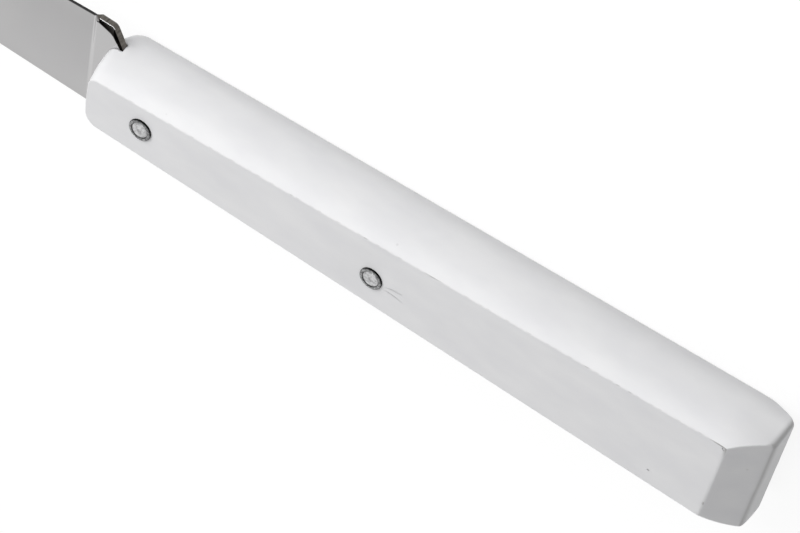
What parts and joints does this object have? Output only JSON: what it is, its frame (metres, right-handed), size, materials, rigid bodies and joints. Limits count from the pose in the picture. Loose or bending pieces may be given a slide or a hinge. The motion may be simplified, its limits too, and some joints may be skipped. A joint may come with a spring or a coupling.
{
  "type": "table knife",
  "caption": "Table knife with a straight-backed steel blade, its half tang riveted into a faceted white painted wooden handle with crowned edges and a chamfered butt.",
  "frame": {"origin": "below the middle of the knife's box, on the surface that the rivet rims of its lower side lie on", "axes": "+X towards the tip, +Y towards the spine, +Z out of the upper flat side of the handle; the cutting edge faces -Y"},
  "size_m": [0.2254, 0.0216, 0.0126],
  "materials": {
    "blade_steel": "ground and polished stainless steel",
    "painted_wood": "white satin paint on close-grained hardwood",
    "rivet_steel": "rolled steel rim",
    "rivet_alloy": "pressed, slightly rough"
  },
  "bodies": {
    "root": {"blade": "blade_steel", "handle": "painted_wood", "rivet_front_tube": "rivet_steel", "rivet_front_pin": "rivet_alloy", "rivet_rear_tube": "rivet_steel", "rivet_rear_pin": "rivet_alloy"}
  },
  "joints": []
}
